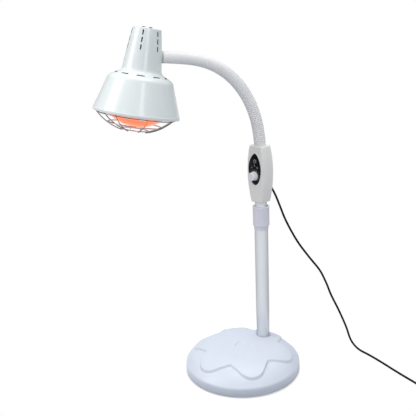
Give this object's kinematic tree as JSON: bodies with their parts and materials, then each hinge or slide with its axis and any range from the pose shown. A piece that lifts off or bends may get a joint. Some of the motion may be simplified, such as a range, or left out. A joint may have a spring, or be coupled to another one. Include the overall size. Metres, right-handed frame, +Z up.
{
  "type": "infrared heat therapy lamp",
  "caption": "Standing infrared heat therapy lamp: weighted round base, telescopic pole, dimmer box, bendable ribbed neck and a bell shade with a guarded red heat bulb.",
  "frame": {"origin": "middle of the underside of the base, on the floor plane", "axes": "+Z up along the pole, -Y towards the user in front of the control panel, +X to the user's right of the lamp, pole on +Y side of the base"},
  "size_m": [0.5742, 0.5062, 0.7145],
  "materials": {
    "white_plastic": "satin off-white moulding",
    "box_plastic": "fine matt warm grey",
    "collar_plastic": "smooth matt grey",
    "bush_plastic": "natural acetal",
    "neck_sleeve": "smooth ribbed sleeve",
    "silver_tube": "silver lacquer",
    "shade_enamel": "satin white lacquer",
    "knob_plastic": "gloss white",
    "black_panel": "gloss black",
    "board_green": "solder mask",
    "cast_iron": "black primer",
    "plated_steel": "zinc plated",
    "guard_chrome": "bright wire",
    "brass": "plain",
    "socket_ceramic": "glazed ceramic",
    "bulb_glass": "red infrared glass",
    "bulb_mirror": "glass aluminised on its inside",
    "black_rubber": "matt black",
    "cord_rubber": "satin black jacket"
  },
  "bodies": {
    "base": {"base_housing": "white_plastic", "base_weight": "cast_iron", "base_bottom_cover": "plated_steel", "base_foot_pad": "black_rubber", "base_screws": "plated_steel", "pole_foot_ring": "collar_plastic", "pole_plug": "plated_steel", "pole_bolt": "plated_steel", "outer_tube": "silver_tube", "tube_ferrule": "collar_plastic", "collet": "bush_plastic"},
    "collar": {"clamp_collar": "collar_plastic"},
    "slider": {"guide_bush": "bush_plastic"},
    "mast": {"tube_end_plug": "plated_steel", "inner_tube": "silver_tube", "box_front_shell": "box_plastic", "box_rear_shell": "box_plastic", "box_screws": "plated_steel", "control_panel": "black_panel", "potentiometer": "plated_steel", "circuit_board": "board_green", "terminal_block": "bush_plastic", "neck_foot_fitting": "neck_sleeve", "neck_foot_nut": "plated_steel", "cord_relief": "cord_rubber", "power_cord": "cord_rubber", "cord_coil": "cord_rubber", "coil_tie": "cord_rubber", "plug_body": "cord_rubber", "plug_pins": "plated_steel"},
    "dimmer": {"dimmer_knob": "knob_plastic"},
    "link_01": {"neck_link_01": "neck_sleeve"},
    "link_02": {"neck_link_02": "neck_sleeve"},
    "link_03": {"neck_link_03": "neck_sleeve"},
    "link_04": {"neck_link_04": "neck_sleeve"},
    "link_05": {"neck_link_05": "neck_sleeve"},
    "link_06": {"neck_link_06": "neck_sleeve"},
    "link_07": {"neck_link_07": "neck_sleeve"},
    "link_08": {"neck_link_08": "neck_sleeve"},
    "link_09": {"neck_link_09": "neck_sleeve"},
    "link_10": {"neck_link_10": "neck_sleeve"},
    "link_11": {"neck_link_11": "neck_sleeve"},
    "link_12": {"neck_link_12": "neck_sleeve"},
    "neck_end": {"neck_end_fitting": "neck_sleeve", "neck_end_nut": "plated_steel"},
    "head": {"neck_gasket": "black_rubber", "shade": "shade_enamel", "socket_bracket": "plated_steel", "bracket_screws": "plated_steel", "lamp_socket": "socket_ceramic", "socket_contact": "brass", "bulb_cap": "brass", "bulb_reflector": "bulb_mirror", "bulb_face": "bulb_glass", "wire_guard": "guard_chrome"}
  },
  "joints": [
    {"name": "height_slide", "type": "slide", "parent": "base", "child": "slider", "axis": [0, 0, 1], "range_m": [-0.008, 0.18]},
    {"name": "mast_swivel", "type": "hinge", "parent": "slider", "child": "mast", "pos_m": [0, 0.066, 0.35], "axis": [0, 0, 1], "range_deg": [-90, 90]},
    {"name": "collar_turn", "type": "hinge", "parent": "base", "child": "collar", "pos_m": [0, 0.066, 0.32], "axis": [0, 0, 1], "range_deg": [0, 180]},
    {"name": "dimmer_turn", "type": "hinge", "parent": "mast", "child": "dimmer", "pos_m": [0, 0.05, 0.412], "axis": [0, -1, 0], "range_deg": [0, 270]},
    {"name": "neck_bend_01", "type": "hinge", "parent": "mast", "child": "link_01", "pos_m": [0, 0.066, 0.477], "axis": [0.8829, -0.4695, 0], "range_deg": [-5.32, 2.28]},
    {"name": "neck_bend_02", "type": "hinge", "parent": "link_01", "child": "link_02", "pos_m": [-0.00098, 0.06416, 0.4994], "axis": [0.8829, -0.4695, 0], "range_deg": [-5.43, 2.33]},
    {"name": "neck_bend_03", "type": "hinge", "parent": "link_02", "child": "link_03", "pos_m": [-0.00295, 0.06045, 0.52151], "axis": [0.8829, -0.4695, 0], "range_deg": [-5.77, 2.47]},
    {"name": "neck_bend_04", "type": "hinge", "parent": "link_03", "child": "link_04", "pos_m": [-0.00595, 0.0548, 0.54308], "axis": [0.8829, -0.4695, 0], "range_deg": [-6.28, 2.69]},
    {"name": "neck_bend_05", "type": "hinge", "parent": "link_04", "child": "link_05", "pos_m": [-0.01005, 0.0471, 0.56382], "axis": [0.8829, -0.4695, 0], "range_deg": [-6.91, 2.96]},
    {"name": "neck_bend_06", "type": "hinge", "parent": "link_05", "child": "link_06", "pos_m": [-0.01528, 0.03725, 0.58336], "axis": [0.8829, -0.4695, 0], "range_deg": [-7.58, 3.25]},
    {"name": "neck_bend_07", "type": "hinge", "parent": "link_06", "child": "link_07", "pos_m": [-0.02168, 0.02522, 0.60126], "axis": [0.8829, -0.4695, 0], "range_deg": [-8.21, 3.52]},
    {"name": "neck_bend_08", "type": "hinge", "parent": "link_07", "child": "link_08", "pos_m": [-0.02922, 0.01105, 0.61703], "axis": [0.8829, -0.4695, 0], "range_deg": [-8.72, 3.74]},
    {"name": "neck_bend_09", "type": "hinge", "parent": "link_08", "child": "link_09", "pos_m": [-0.03779, -0.00507, 0.63019], "axis": [0.8829, -0.4695, 0], "range_deg": [-9.05, 3.88]},
    {"name": "neck_bend_10", "type": "hinge", "parent": "link_09", "child": "link_10", "pos_m": [-0.04722, -0.02281, 0.6403], "axis": [0.8829, -0.4695, 0], "range_deg": [-9.17, 3.93]},
    {"name": "neck_bend_11", "type": "hinge", "parent": "link_10", "child": "link_11", "pos_m": [-0.05729, -0.04176, 0.64709], "axis": [0.8829, -0.4695, 0], "range_deg": [-7.18, 3.08]},
    {"name": "neck_bend_12", "type": "hinge", "parent": "link_11", "child": "link_12", "pos_m": [-0.06768, -0.0613, 0.65114], "axis": [0.8829, -0.4695, 0], "range_deg": [-3.19, 1.37]},
    {"name": "neck_bend_13", "type": "hinge", "parent": "link_12", "child": "neck_end", "pos_m": [-0.07816, -0.08101, 0.65396], "axis": [0.8829, -0.4695, 0], "range_deg": [-1.19, 0.51]},
    {"name": "head_twist", "type": "hinge", "parent": "neck_end", "child": "head", "pos_m": [-0.07816, -0.08101, 0.65396], "axis": [-0.4669, -0.8781, 0.1045], "range_deg": [-35, 35]}
  ]
}
